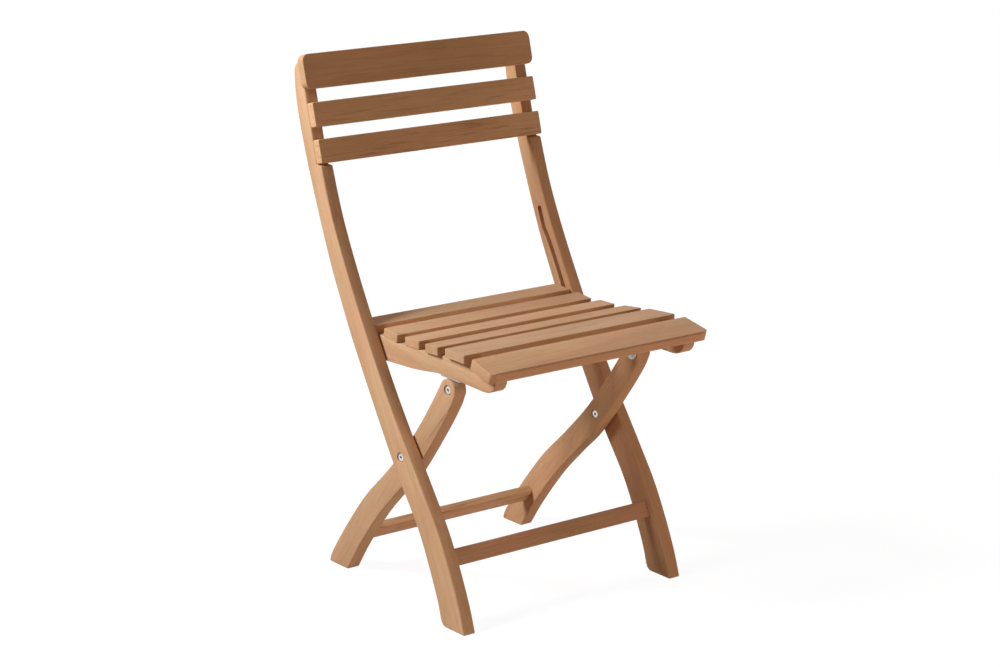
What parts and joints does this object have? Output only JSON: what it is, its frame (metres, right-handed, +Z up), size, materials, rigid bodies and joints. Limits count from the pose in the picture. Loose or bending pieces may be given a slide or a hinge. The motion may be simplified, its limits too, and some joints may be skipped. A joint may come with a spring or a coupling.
{
  "type": "folding chair",
  "caption": "Folding teak side chair with a slatted seat and slatted back, curved crossing legs, steel pivots and a seat that folds up between the uprights.",
  "frame": {"origin": "middle of the box around the open chair, on the floor", "axes": "+Z up, the chair faces -Y, X across the chair with left at -X"},
  "size_m": [0.4836, 0.519, 0.8603],
  "materials": {
    "teak": "smooth oiled teak",
    "steel": "zinc plated"
  },
  "bodies": {
    "back_frame": {"left_upright": "teak", "right_upright": "teak", "lower_back_slat": "teak", "middle_back_slat": "teak", "top_back_slat": "teak", "front_stretcher": "teak", "left_back_screw_1": "steel", "left_back_screw_2": "steel", "left_back_screw_3": "steel", "left_back_screw_4": "steel", "right_back_screw_1": "steel", "right_back_screw_2": "steel", "right_back_screw_3": "steel", "right_back_screw_4": "steel", "left_pivot_bolt": "steel", "right_pivot_bolt": "steel"},
    "leg_frame": {"left_leg": "teak", "right_leg": "teak", "rear_stretcher": "teak", "left_pivot_nut": "steel", "left_pivot_washer": "steel", "left_seat_bolt": "steel", "left_seat_nut": "steel", "right_pivot_nut": "steel", "right_pivot_washer": "steel", "right_seat_bolt": "steel", "right_seat_nut": "steel"},
    "seat": {"left_seat_rail": "teak", "right_seat_rail": "teak", "seat_slat_1": "teak", "seat_slat_2": "teak", "seat_slat_3": "teak", "seat_slat_4": "teak", "seat_slat_5": "teak", "seat_slat_6": "teak", "left_seat_bracket": "steel", "left_slide_pin": "steel", "right_seat_bracket": "steel", "right_slide_pin": "steel", "left_seat_screw_1": "steel", "left_seat_screw_2": "steel", "left_seat_screw_3": "steel", "left_seat_screw_4": "steel", "left_seat_screw_5": "steel", "left_seat_screw_6": "steel", "right_seat_screw_1": "steel", "right_seat_screw_2": "steel", "right_seat_screw_3": "steel", "right_seat_screw_4": "steel", "right_seat_screw_5": "steel", "right_seat_screw_6": "steel", "left_bracket_screw_1": "steel", "left_bracket_screw_2": "steel", "right_bracket_screw_1": "steel", "right_bracket_screw_2": "steel"}
  },
  "joints": [
    {"name": "fold", "type": "hinge", "parent": "back_frame", "child": "leg_frame", "pos_m": [0, -0.0446, 0.2502], "axis": [-1, 0, 0], "range_deg": [0, 58]},
    {"name": "seat_turn", "type": "hinge", "parent": "leg_frame", "child": "seat", "pos_m": [0, -0.1266, 0.3795], "axis": [1, 0, 0], "range_deg": [0, 103]}
  ],
  "couplings": [
    {"joint": "seat_turn", "follows": "fold", "ratio": 1.77}
  ]
}
